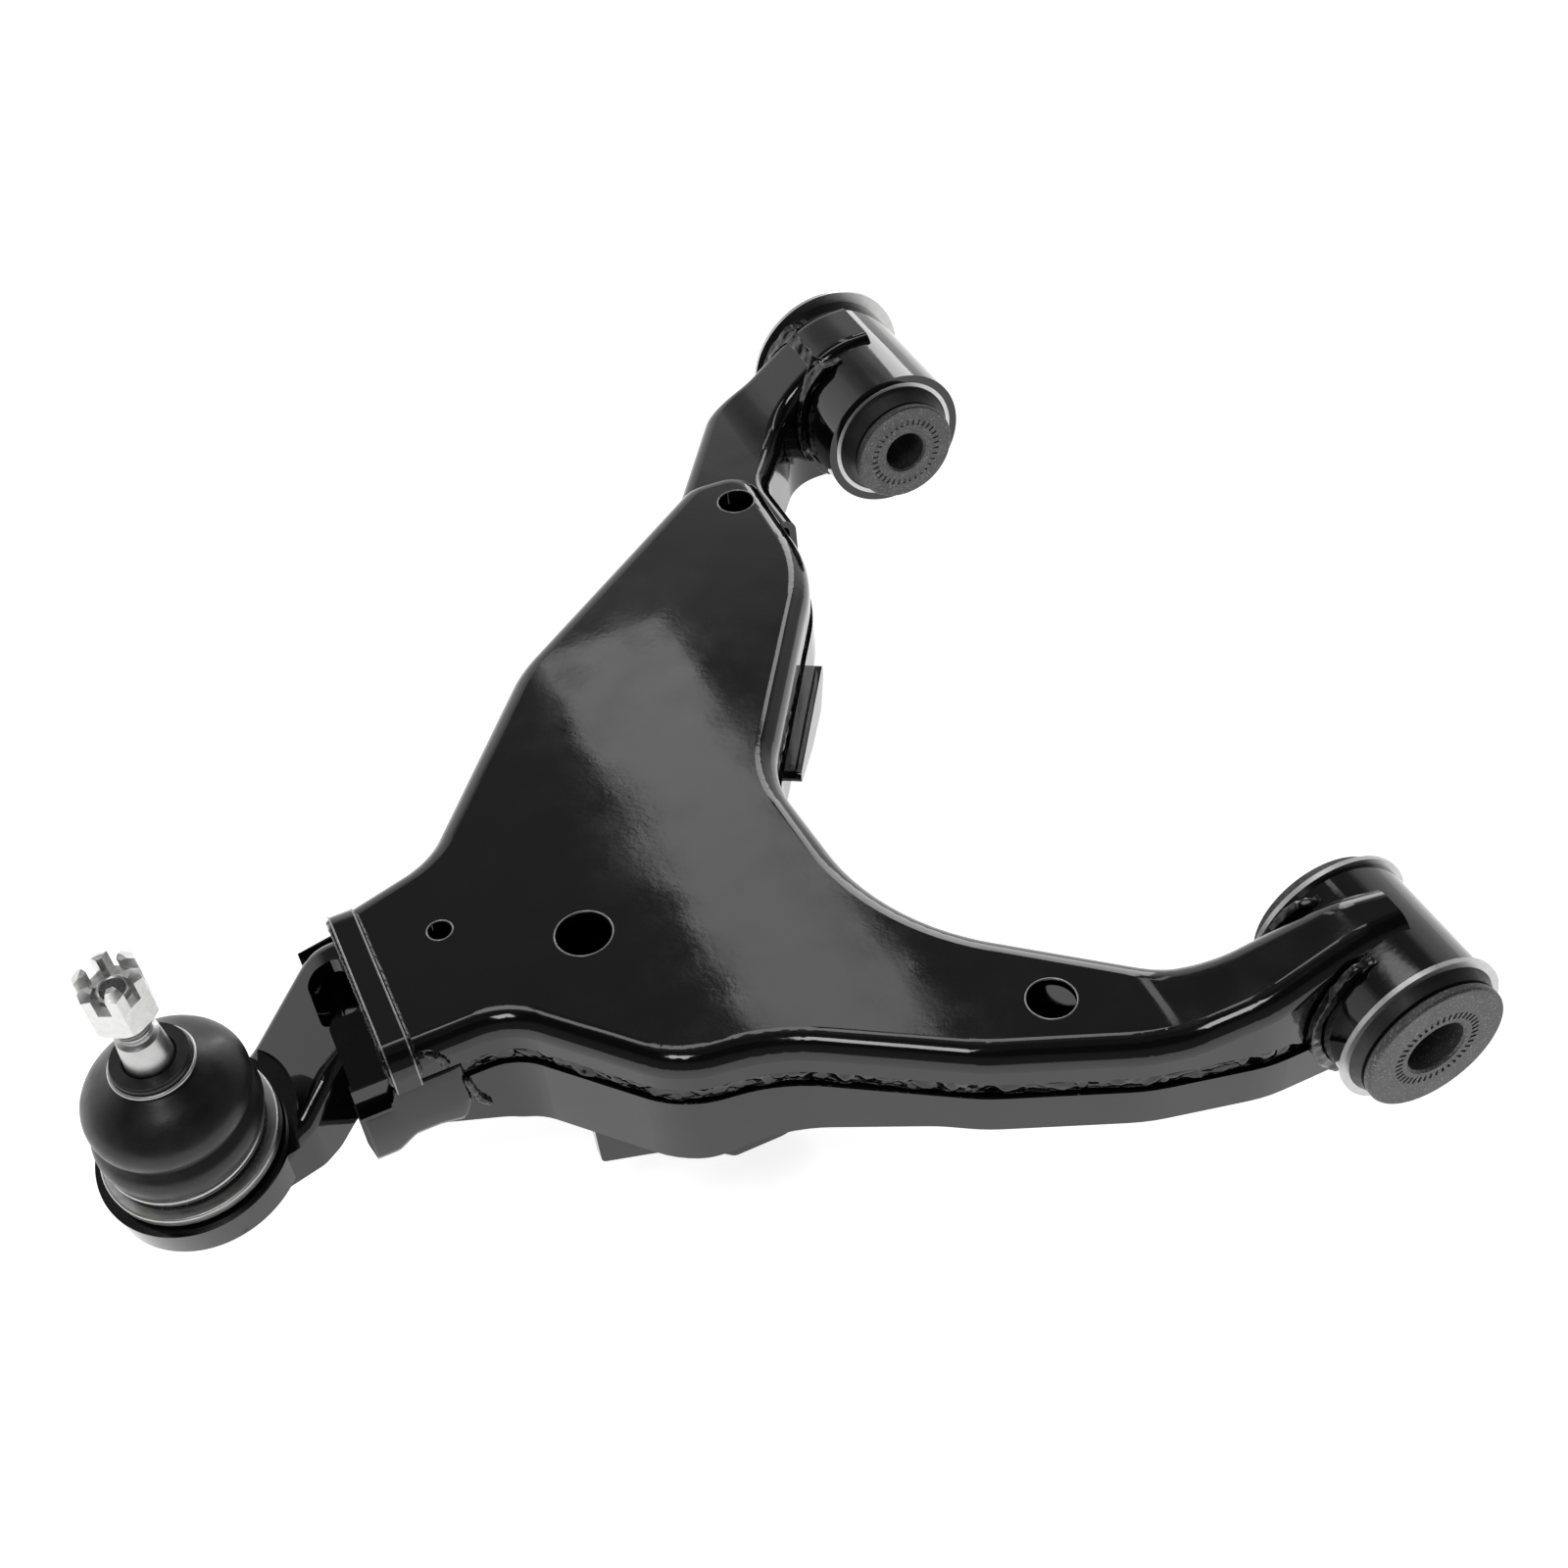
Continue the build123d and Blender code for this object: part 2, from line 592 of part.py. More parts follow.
def castle_nut():
    """A slotted hexagon nut with its corners turned off at both ends."""
    half_flats = NUT_FLATS / 2
    hexagon = extrude(RegularPolygon(half_flats, 6, major_radius=False), NUT_HEIGHT)
    corner_r = half_flats / math.cos(math.pi / 6)
    cone = [(0, 0), (corner_r - NUT_FOOT_CUT, 0), (corner_r, NUT_FOOT_CUT)]
    cone += [(corner_r, NUT_HEIGHT - NUT_TOP_CUT), (corner_r - 1.4 * NUT_TOP_CUT, NUT_HEIGHT), (0, NUT_HEIGHT)]
    nut = hexagon & turned(cone)
    nut -= Cylinder(THREAD_R, 3 * NUT_HEIGHT)
    for turn in range(NUT_SLOTS // 2):
        slot = Pos(0, 0, NUT_HEX + BEYOND / 2) * Box(BEYOND, NUT_SLOT_WIDTH, BEYOND)
        nut -= Rot(0, 0, 30 + turn * 360 / NUT_SLOTS) * slot
    return stud_place(Pos(0, 0, NUT_BOTTOM) * Rot(0, 0, NUT_TURN) * nut)


def taper_radius(height):
    """The stud's radius at a height on its taper."""
    share = (height - TAPER_BASE) / (TAPER_TOP - TAPER_BASE)
    return TAPER_BASE_R + (TAPER_TOP_R - TAPER_BASE_R) * share


def boot_collar():
    """The stiff ring inside the boot's lip, which slides on the stud's taper."""
    inner = taper_radius(COLLAR_FOOT) + SPHERE_GAP
    outer = COLLAR_R - 2 * WIRE_R + 0.6
    height = COLLAR_TOP - COLLAR_FOOT
    middle = (COLLAR_TOP + COLLAR_FOOT) / 2
    return stud_place(Pos(0, 0, middle) * (Cylinder(outer, height) - Cylinder(inner, height)))


def boot_upper_clip():
    """The wire ring round the boot's lip."""
    return stud_place(Pos(0, 0, COLLAR_HEIGHT) * Torus(COLLAR_R - 0.2, WIRE_R))


def boot_lower_ring():
    """The wire ring that holds the boot in the housing's groove."""
    return housing_place(Pos(0, 0, CLAMP_HEIGHT) * Torus(CLAMP_R, CLAMP_WIRE_R))


def boot_plane(share):
    """A cutting plane part of the way from the housing's rim to the stud's collar."""
    low = Plane(Location(BALL, HOUSING_LEAN))
    high = Plane(Location(BALL, STUD_LEAN))
    foot = low.origin + low.z_dir * BOOT_FOOT
    head = high.origin + high.z_dir * BOOT_HEAD
    lean = low.z_dir * (1 - share) + high.z_dir * share
    return Plane(origin=foot + (head - foot) * share, x_dir=(1, 0, 0), z_dir=lean)


def dust_boot():
    """The two-lobed rubber boot, as a closed skin between the two wire rings."""
    outer = loft([boot_plane(share) * Circle(radius) for share, radius in BOOT], ruled=True)
    inner = loft([boot_plane(share) * Circle(radius - BOOT_WALL) for share, radius in BOOT], ruled=True)
    return outer - inner


# ---- eye tubes and bushes ----
def span_tube(ends, outer, inner=0.0):
    """A tube along the pivot axis between two places on it."""
    return y_tube((ends[0] + ends[1]) / 2, (ends[1] - ends[0]) / 2, outer, inner)


def outer_sleeve(ends, tube_r, flange_r, both_flanges):
    """The steel sleeve pressed into an eye tube, with a thin flange at its far end or at both."""
    outer = tube_r - TUBE_WALL
    inner = outer - SLEEVE_WALL
    sleeve = span_tube(ends, outer, inner)
    sleeve += span_tube((ends[1], ends[1] + FLANGE_THICK), flange_r, inner)
    if both_flanges:
        sleeve += span_tube((ends[0] - FLANGE_THICK, ends[0]), flange_r, inner)
    return sleeve


def bush_rubber(ends, sleeve_r, neck_r, lip_r, tip_r, reaches):
    """The rubber between the sleeves, with a lip at each end."""
    body = span_tube(ends, sleeve_r)
    for start, way, reach in ((ends[0], -1, reaches[0]), (ends[1], 1, reaches[1])):
        root = Plane((0, start, 0), x_dir=(1, 0, 0), z_dir=(0, way, 0)) * Circle(lip_r)
        tip = Plane((0, start + way * reach, 0), x_dir=(1, 0, 0), z_dir=(0, way, 0)) * Circle(tip_r)
        body += loft([root, tip])
    return body - span_tube((ends[0] - BEYOND, ends[1] + BEYOND), neck_r + RUN_GAP)


def inner_sleeve(faces, disc_r, neck_r, bore_r, tooth_r, teeth):
    """The steel tube that the bolt clamps, with a toothed disc at each end."""
    sleeve = span_tube(faces, neck_r)
    for face, way in ((faces[0], 1), (faces[1], -1)):
        disc = span_tube(sorted((face, face + way * DISC_THICK)), disc_r)
        sleeve += fillet(disc.edges().filter_by(GeomType.CIRCLE), DISC_ROUND)
    sleeve -= span_tube((faces[0] - 1, faces[1] + 1), bore_r)
    for face, way in ((faces[0], -1), (faces[1], 1)):
        sleeve -= end_chamfer(face, way, bore_r)
    return sleeve - tooth_marks(faces, tooth_r, teeth)


def end_chamfer(y, end, bore_r):
    """The cone that breaks a bore's sharp edge."""
    cone = Cone(bore_r, bore_r + 2 * BORE_CHAMFER, 2 * BORE_CHAMFER)
    return Pos(0, y, 0) * Rot(-90 * end, 0, 0) * cone


def tooth_marks(faces, tooth_r, teeth):
    """Short radial grooves round both end faces, which bite into the mounting."""
    marks = []
    for face in faces:
        for index in range(teeth):
            mark = Box(TOOTH_LENGTH, 2 * TOOTH_DEPTH, TOOTH_WIDTH)
            mark = Pos(tooth_r + TOOTH_LENGTH / 2, 0, 0) * mark
            mark = Rot(0, index * 360 / teeth, 0) * mark
            marks.append(Pos(0, face, 0) * mark)
    return marks


# ---- the damper bracket ----
def ear(near_y):
    """One hanging ear of the bracket, with its bolt hole."""
    line = FilletPolyline([(x, z) for x, z, _ in EAR], radius=[r for _, _, r in EAR], close=True)
    plate = extrude(Plane.XZ.offset(-near_y) * make_face(line), -EAR_THICK)
    hole = Pos(EAR_HOLE[0], near_y, EAR_HOLE[1]) * Cylinder(EAR_HOLE_R, 60, rotation=(90, 0, 0))
    return plate - hole - rear_leg_block()


def bracket_end_plate():
    """The folded web that ties the two ears together at the mouth side."""
    start_x = EAR[1][0]
    start_y = EAR_NEAR_Y + EAR_THICK
    low = (start_x, start_y, DEEP_BOTTOM - WEB_HEIGHT)
    high = (start_x + EAR_THICK, start_y + EAR_GAP, DEEP_BOTTOM)
    return box_between(low, high)


def side_gusset():
    """A thick plate laid against the lower shell's inner wall."""
    line = FilletPolyline([(u, z) for u, z, _ in GUSSET], radius=[r for _, _, r in GUSSET], close=True)
    plate = extrude(Plane.XZ * make_face(line), GUSSET_OUT, both=True)
    place = Pos(GUSSET_FOOT[0], GUSSET_FOOT[1], 0) * Rot(0, 0, GUSSET_TURN)
    return place * plate - outline_block()


def save(shape, name):
    """Write one piece, moved so that the rear bush's middle is the origin."""
    export_step(Pos(0, -ORIGIN_Y, 0) * shape, "parts/" + name + ".step")


def bush_pieces():
    """The sleeves and rubber of both bushes, by name."""
    rear_inside = REAR_TUBE_R - TUBE_WALL - SLEEVE_WALL
    front_inside = FRONT_TUBE_R - TUBE_WALL - SLEEVE_WALL
    rear_ends = (REAR_TUBE_ENDS[0] - FLANGE_THICK, REAR_TUBE_ENDS[1] + FLANGE_THICK)
    return {
        "rear_bush_outer_sleeve": outer_sleeve(REAR_TUBE_ENDS, REAR_TUBE_R, REAR_FLANGE_R, True),
        "front_bush_outer_sleeve": outer_sleeve(FRONT_TUBE_ENDS, FRONT_TUBE_R, FRONT_FLANGE_R, False),
        "rear_bush_rubber": bush_rubber(rear_ends, rear_inside, REAR_NECK_R, *REAR_LIP),
        "front_bush_rubber": bush_rubber(FRONT_TUBE_ENDS, front_inside, FRONT_NECK_R, *FRONT_LIP),
        "rear_inner_sleeve": inner_sleeve(
            REAR_FACES, REAR_DISC_R, REAR_NECK_R, REAR_BORE_R, REAR_TOOTH_R, REAR_TEETH
        ),
        "front_inner_sleeve": inner_sleeve(
            FRONT_FACES, FRONT_DISC_R, FRONT_NECK_R, FRONT_BORE_R, FRONT_TOOTH_R, FRONT_TEETH
        ),
    }


def welded_pieces():
    """Everything that is welded into one arm, by name."""
    return {
        "upper_shell": upper_shell(),
        "lower_shell": lower_shell(),
        "front_leg_upper": front_leg(True),
        "front_leg_lower": front_leg(False),
        "shell_seam_weld": shell_seam_weld(),
        "mouth_band": mouth_band(),
        "mouth_tab": shell_tab(),
        "rear_eye_tube": span_tube(REAR_TUBE_ENDS, REAR_TUBE_R, REAR_TUBE_R - TUBE_WALL),
        "front_eye_tube": span_tube(FRONT_TUBE_ENDS, FRONT_TUBE_R, FRONT_TUBE_R - TUBE_WALL),
        "rear_eye_weld": tube_weld(rear_leg_block(), REAR_Y, REAR_TUBE_R, plan_face(OUTLINE, -WELD)),
        "front_eye_weld": tube_weld(front_leg_block(), FRONT_Y, FRONT_TUBE_R, plan_face(FRONT_LEG, -WELD)),
        "damper_ear_near": ear(EAR_NEAR_Y),
        "damper_ear_far": ear(EAR_NEAR_Y + EAR_THICK + EAR_GAP),
        "damper_bracket_web": bracket_end_plate(),
        "side_gusset": side_gusset(),
    }


def ball_joint_pieces():
    """The ball joint with its carrier, by name."""
    return {
        "ball_joint_carrier": ball_joint_carrier(),
        "ball_housing": ball_housing(),
        "housing_ring": housing_ring(),
        "housing_cover": housing_cover(),
        "bearing_shell": bearing_shell(),
        "preload_spring": preload_spring(),
        "ball_liner": ball_liner(),
        "ball_stud": ball_stud(),
        "castle_nut": castle_nut(),
        "boot_collar": boot_collar(),
        "boot_upper_clip": boot_upper_clip(),
        "boot_lower_ring": boot_lower_ring(),
        "dust_boot": dust_boot(),
    }


def main():
    os.makedirs("parts", exist_ok=True)
    for pieces in (welded_pieces(), bush_pieces(), ball_joint_pieces()):
        for name, shape in pieces.items():
            save(shape, name)


main()
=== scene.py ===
import math
import random

import bpy
from mathutils import Matrix, Vector


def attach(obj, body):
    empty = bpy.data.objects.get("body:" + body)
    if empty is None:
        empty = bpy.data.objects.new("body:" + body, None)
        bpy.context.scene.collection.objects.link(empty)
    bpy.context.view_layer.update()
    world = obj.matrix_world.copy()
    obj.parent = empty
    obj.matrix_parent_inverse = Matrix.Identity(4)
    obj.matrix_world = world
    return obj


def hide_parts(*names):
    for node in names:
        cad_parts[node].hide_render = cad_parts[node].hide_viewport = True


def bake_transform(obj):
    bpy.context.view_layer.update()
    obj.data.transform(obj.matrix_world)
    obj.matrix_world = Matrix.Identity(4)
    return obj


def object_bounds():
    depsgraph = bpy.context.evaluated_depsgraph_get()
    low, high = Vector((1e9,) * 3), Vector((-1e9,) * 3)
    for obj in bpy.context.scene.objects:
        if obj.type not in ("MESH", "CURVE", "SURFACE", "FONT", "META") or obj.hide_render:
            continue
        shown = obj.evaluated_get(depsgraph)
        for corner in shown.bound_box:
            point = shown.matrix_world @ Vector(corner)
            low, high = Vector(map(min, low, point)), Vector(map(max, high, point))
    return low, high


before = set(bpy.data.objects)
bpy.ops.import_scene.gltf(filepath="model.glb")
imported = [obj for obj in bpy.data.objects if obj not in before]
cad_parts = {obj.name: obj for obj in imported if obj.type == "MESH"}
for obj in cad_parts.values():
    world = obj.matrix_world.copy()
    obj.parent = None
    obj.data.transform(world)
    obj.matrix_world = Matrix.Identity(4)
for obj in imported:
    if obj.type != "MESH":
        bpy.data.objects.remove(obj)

for node_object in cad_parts.values():
    node_object.data.update()
bpy.context.view_layer.update()
cad_box = [list(corner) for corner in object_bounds()]

MM = 0.001
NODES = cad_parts


# ---------------------------------------------------------------- materials
# colour sockets of a Mix node: its two inputs and its output
MIX_A, MIX_B, MIX_RESULT = 6, 7, 2


class Nodes:
    """A small helper that adds nodes to one material and links them."""

    def __init__(self, name):
        self.material = bpy.data.materials.new(name)
        self.material.use_nodes = True
        self.tree = self.material.node_tree
        self.shader = self.tree.nodes["Principled BSDF"]
        self.place = self.add("ShaderNodeTexCoord").outputs["Object"]

    def add(self, kind, **settings):
        node = self.tree.nodes.new(kind)
        for name, value in settings.items():
            setattr(node, name, value)
        return node

    def link(self, a, b):
        self.tree.links.new(a, b)

    def set(self, **values):
        for name, value in values.items():
            self.shader.inputs[name.replace("_", " ")].default_value = value

    def noise(self, size, detail=2.0, rough=0.5, stretch=None):
        """Noise whose blobs are about size metres across."""
        node = self.add("ShaderNodeTexNoise")
        node.inputs["Scale"].default_value = 1 / size
        node.inputs["Detail"].default_value = detail
        node.inputs["Roughness"].default_value = rough
        source = self.place
        if stretch:
            mapping = self.add("ShaderNodeMapping")
            mapping.inputs["Scale"].default_value = stretch
            self.link(source, mapping.inputs["Vector"])
            source = mapping.outputs["Vector"]
        self.link(source, node.inputs["Vector"])
        return node.outputs["Fac"]

    def ramp(self, source, low, high, to_low, to_high):
        """Map low..high of source onto to_low..to_high."""
        node = self.add("ShaderNodeMapRange")
        sockets = ("From Min", "From Max", "To Min", "To Max")
        for name, value in zip(sockets, (low, high, to_low, to_high)):
            node.inputs[name].default_value = value
        self.link(source, node.inputs["Value"])
        return node.outputs["Result"]

    def mix(self, factor, a, b):
        """Blend colours a and b, each a socket or three numbers."""
        node = self.add("ShaderNodeMix", data_type="RGBA")
        self.link(factor, node.inputs["Factor"])
        for socket, value in ((node.inputs[MIX_A], a), (node.inputs[MIX_B], b)):
            if hasattr(value, "is_linked"):
                self.link(value, socket)
            else:
                socket.default_value = (*value, 1)
        return node.outputs[MIX_RESULT]

    def bump(self, height, distance, under=None):
        """Relief of up to distance metres, on top of the relief under."""
        node = self.add("ShaderNodeBump")
        node.inputs["Strength"].default_value = 1.0
        node.inputs["Distance"].default_value = distance
        self.link(height, node.inputs["Height"])
        if under:
            self.link(under, node.inputs["Normal"])
        return node.outputs["Normal"]

    def colour(self, socket):
        self.link(socket, self.shader.inputs["Base Color"])

    def roughness(self, socket):
        self.link(socket, self.shader.inputs["Roughness"])

    def normal(self, socket):
        self.link(socket, self.shader.inputs["Normal"])


def black_paint(name):
    """Glossy black enamel over pressed steel: orange peel, slow waves in the sheet and fine dust."""
    n = Nodes(name)
    n.set(Specular_IOR_Level=0.5, IOR=1.5, Coat_Weight=0.25, Coat_Roughness=0.03, Coat_IOR=1.5)
    dust = n.ramp(n.noise(0.0009, 3), 0.68, 0.82, 0, 1)
    tone = n.mix(n.noise(0.03, 3), (0.0022, 0.0022, 0.0024), (0.0055, 0.0055, 0.0058))
    n.colour(n.mix(dust, tone, (0.02, 0.02, 0.021)))
    n.roughness(n.ramp(n.noise(0.02, 4), 0.3, 0.7, 0.05, 0.12))
    slow = n.bump(n.noise(0.035, 1), 0.0003)
    peel = n.bump(n.noise(0.0024, 1), 0.000012, slow)
    n.normal(n.bump(n.noise(0.0006, 1), 0.000003, peel))
    return n.material


def bush_rubber(name):
    """Satin natural rubber with fine mould texture."""
    n = Nodes(name)
    n.set(Specular_IOR_Level=0.45, IOR=1.5)
    n.colour(n.mix(n.noise(0.006, 4), (0.010, 0.010, 0.010), (0.024, 0.024, 0.024)))
    n.roughness(n.ramp(n.noise(0.004, 4), 0.3, 0.7, 0.38, 0.55))
    n.normal(n.bump(n.noise(0.0012, 4), 0.00008))
    return n.material


def boot_rubber(name):
    """Semi-gloss neoprene of the dust boot, with a faint bloom."""
    n = Nodes(name)
    n.set(Specular_IOR_Level=0.5, IOR=1.5)
    n.colour(n.mix(n.noise(0.012, 5), (0.006, 0.006, 0.0065), (0.017, 0.017, 0.018)))
    n.roughness(n.ramp(n.noise(0.007, 4), 0.3, 0.7, 0.27, 0.42))
    peel = n.bump(n.noise(0.0045, 2), 0.00006)
    n.normal(n.bump(n.noise(0.0008, 3), 0.00002, peel))
    return n.material


def turned_steel(name):
    """Bright bare steel with fine lines left by turning."""
    n = Nodes(name)
    n.set(Metallic=1.0)
    n.colour(n.mix(n.noise(0.004, 5), (0.465, 0.465, 0.465), (0.62, 0.62, 0.6138)))
    fine = n.noise(0.0014, 3, stretch=(0.25, 0.25, 5))
    n.roughness(n.ramp(fine, 0.3, 0.7, 0.3, 0.44))
    n.normal(n.bump(fine, 0.00004))
    return n.material


def phosphated_steel(name):
    """Dark grey phosphate coat: matt, speckled and a little crystalline."""
    n = Nodes(name)
    n.set(Metallic=0.55, Specular_IOR_Level=0.5)
    speckle = n.ramp(n.noise(0.0009, 5, 0.7), 0.55, 0.68, 0, 1)
    tone = n.mix(n.noise(0.008, 4), (0.060, 0.060, 0.062), (0.12, 0.12, 0.122))
    n.colour(n.mix(speckle, tone, (0.34, 0.34, 0.34)))
    n.roughness(n.ramp(n.noise(0.001, 3), 0.3, 0.7, 0.42, 0.6))
    n.normal(n.bump(n.noise(0.0006, 3), 0.00004))
    return n.material


def zinc_plate(name):
    """Bright zinc: pale metal with a soft mottle."""
    n = Nodes(name)
    n.set(Metallic=1.0)
    n.colour(n.mix(n.noise(0.003, 5), (0.60, 0.60, 0.60), (0.80, 0.80, 0.79)))
    n.roughness(n.ramp(n.noise(0.0018, 4), 0.3, 0.7, 0.26, 0.42))
    n.normal(n.bump(n.noise(0.0025, 2), 0.00003))
    return n.material


def edge_highlight_grey(name):
    """Grey metal under a clear coat: a painted highlight for the bright line that light draws along
    sharp edges.
    """
    n = Nodes(name)
    n.set(Metallic=0.7, Specular_IOR_Level=0.5, Coat_Weight=0.5, Coat_Roughness=0.1)
    # painted highlight: grey 0.16 to 0.42 stands in for the light that sharp edges catch
    n.colour(n.mix(n.noise(0.004, 4), (0.16, 0.16, 0.16), (0.42, 0.42, 0.42)))
    n.roughness(n.ramp(n.noise(0.002, 3), 0.3, 0.7, 0.25, 0.45))
    n.normal(n.bump(n.noise(0.0012, 2), 0.00003))
    return n.material


def bearing_plastic(name):
    """Off-white acetal."""
    n = Nodes(name)
    n.set(Specular_IOR_Level=0.5)
    n.colour(n.mix(n.noise(0.004, 3), (0.62, 0.60, 0.54), (0.72, 0.70, 0.64)))
    n.roughness(n.ramp(n.noise(0.002, 3), 0.3, 0.7, 0.35, 0.5))
    n.normal(n.bump(n.noise(0.001, 2), 0.00002))
    return n.material


FINISHES = {
    "black_paint": black_paint("gloss_black_enamel"),
    "bush_rubber": bush_rubber("satin_bush_rubber"),
    "boot_rubber": boot_rubber("neoprene_boot"),
    "bare_steel": turned_steel("turned_steel"),
    "phosphated_steel": phosphated_steel("phosphate_grey_steel"),
    "zinc_plate": zinc_plate("bright_zinc"),
    "bearing_plastic": bearing_plastic("acetal_bearing"),
}

for node_object in NODES.values():
    slot_name = node_object.data.materials[0].name
    node_object.data.materials[0] = FINISHES[slot_name]


# ---------------------------------------------------------------- mesh helpers
def new_piece(name, points, faces, material):
    """A smooth-shaded mesh object in the shared frame."""
    mesh = bpy.data.meshes.new(name)
    mesh.from_pydata([tuple(point) for point in points], [], faces)
    mesh.validate()
    thing = bpy.data.objects.new(name, mesh)
    bpy.context.scene.collection.objects.link(thing)
    mesh.materials.append(material)
    for face in mesh.polygons:
        face.use_smooth = True
    return thing


def skin(rings, closed_loop=True):
    """Faces between rings of equal length; with closed_loop the last ring joins the first."""
    count = len(rings[0])
    points = [point for ring in rings for point in ring]
    faces = []
    last = len(rings) if closed_loop else len(rings) - 1
    for row in range(last):
        here, there = row * count, (row + 1) % len(rings) * count
        for column in range(count):
            after = (column + 1) % count
            faces.append((here + column, here + after, there + after, there + column))
    return points, faces


def circle_ring(centre, side, across, radius, segments):
    """A circle of points about centre, in the plane of the unit vectors side and across."""
    ring = []
    for index in range(segments):
        angle = index * math.tau / segments
        ring.append(centre + (side * math.cos(angle) + across * math.sin(angle)) * radius)
    return ring


def cap_ends(points, faces, count):
    """Close an open skin whose rings have count points."""
    faces.append(tuple(range(count - 1, -1, -1)))
    faces.append(tuple(range(len(points) - count, len(points))))


def cross_axes(path, index):
    """Two unit vectors square to the path at one of its points."""
    ahead = path[min(index + 1, len(path) - 1)] - path[max(index - 1, 0)]
    side = ahead.normalized().orthogonal().normalized()
    return side, ahead.normalized().cross(side)


def lean_matrix(centre, about_x, about_y):
    """A frame at centre whose Z is tilted about X, then about its own Y."""
    first = Matrix.Rotation(math.radians(about_x), 4, "X")
    second = Matrix.Rotation(math.radians(about_y), 4, "Y")
    return Matrix.Translation(Vector(centre) * MM) @ first @ second


def lathe_rings(profile, place, segments=96):
    """Rings of the closed profile [(radius, height)] in millimetres, turned about place's Z."""
    rings = []
    for index in range(segments):
        angle = index * math.tau / segments
        along, aside = math.cos(angle), math.sin(angle)
        rings.append([place @ (Vector((r * along, r * aside, z)) * MM) for r, z in profile])
    return rings


# ---------------------------------------------------------------- ball joint
BALL = (-422.0, 158.0, -26.0)
HOUSING = lean_matrix(BALL, 7.0, -6.5)
STUD = lean_matrix(BALL, 3.2, -1.2)
BOOT_FOOT, BOOT_HEAD, BOOT_WALL = 15.0, 56.0, 2.0
CREASE = 0.45
# (share of the way up, outside radius) of the two lobes, which meet at the crease
LOWER_LOBE = [
    (0.0, 30.7), (0.03, 30.2), (0.06, 30.6), (0.10, 31.9), (0.17, 32.9), (0.25, 33.1), (0.32, 32.2),
    (0.38, 30.4), (0.42, 29.2), (CREASE, 28.9),
]
UPPER_LOBE = [
    (CREASE, 28.9), (0.47, 30.1), (0.51, 31.5), (0.56, 32.0), (0.62, 31.9), (0.68, 31.1), (0.75, 29.2),
    (0.82, 26.4), (0.88, 23.1), (0.93, 19.8), (0.97, 17.2), (1.0, 15.3), (1.02, 14.6),
]


def boot_frame(share):
    """Centre and two cross axes of the boot's ring part of the way up, between housing and stud."""
    low_axis = HOUSING.to_3x3() @ Vector((0, 0, 1))
    high_axis = STUD.to_3x3() @ Vector((0, 0, 1))
    foot = HOUSING @ Vector((0, 0, BOOT_FOOT * MM))
    head = STUD @ Vector((0, 0, BOOT_HEAD * MM))
    axis = low_axis.lerp(high_axis, share).normalized()
    side = Vector((1, 0, 0)) - axis * axis.x
    side.normalize()
    return foot.lerp(head, share), side, axis.cross(side)


def boot_ring(share, radius, segments=128):
    """One ring of the boot."""
    centre, side, across = boot_frame(share)
    return circle_ring(centre, side, across, radius * MM, segments)


def curve_value(a, b, c, d, t):
    """The Catmull-Rom curve from b to c at t, with a and d as its outer neighbours."""
    square = (2 * a - 5 * b + 4 * c - d) * t ** 2
    cube = (3 * b - a - 3 * c + d) * t ** 3
    return 0.5 * (2 * b + (c - a) * t + square + cube)


def between(stations, steps=5):
    """A smooth run through (share, radius) stations, for rounder lobes."""
    run = []
    last = len(stations) - 1
    for index in range(last):
        near = (stations[max(index - 1, 0)], stations[index])
        far = (stations[index + 1], stations[min(index + 2, last)])
        for step in range(steps):
            t = step / steps
            run.append(tuple(curve_value(*four, t) for four in zip(*near, *far)))
    return run + [stations[-1]]


def boot_lobe(name, stations):
    """One lobe of the boot as a closed skin with an inside."""
    run = between(stations)
    rings = [boot_ring(share, radius) for share, radius in run]
    rings += [boot_ring(share, radius - BOOT_WALL) for share, radius in reversed(run)]
    points, faces = skin(rings)
    return new_piece(name, points, faces, FINISHES["boot_rubber"])


def boot():
    """Two lobes that meet at the crease: the lower follows the liner, the upper the collar."""
    foot = boot_frame(0.0)[0]
    crease = boot_frame(CREASE)[0]
    head = boot_frame(1.0)[0]
    lower = boot_lobe("boot_lower_lobe", LOWER_LOBE)
    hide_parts("dust_boot")
    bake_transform(lower)
    upper = boot_lobe("boot_upper_lobe", UPPER_LOBE)
    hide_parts("dust_boot")
    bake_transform(upper)


# (radius, height above the ball's centre)
LIP_PROFILE = [
    (9.9, 57.2), (9.7, 60.6), (10.3, 61.4), (14.2, 61.4), (15.0, 60.9), (15.2, 59.4), (14.4, 57.0),
]


def lip_ring():
    """The boot's flat upper lip inside its wire ring."""
    points, faces = skin(lathe_rings(LIP_PROFILE, STUD))
    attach(new_piece("boot_lip", points, faces, FINISHES["boot_rubber"]), "collar")


PITCH = 1.5
THREAD_LOW, THREAD_HIGH = 79.5, 102.6
THREAD_R, THREAD_DEPTH = 7.0, 0.85
# half the width of the groove, as a share of the pitch
GROOVE_HALF = 0.42
ROWS_PER_PITCH = 10
# the thread fades out to this much less radius over these lengths at its low and high ends
FADE_DROP, FADE_LOW, FADE_HIGH, FADE_REST = 0.55, 1.2, 0.5, 0.25
BALL_R, BALL_ROWS = 15.0, 24
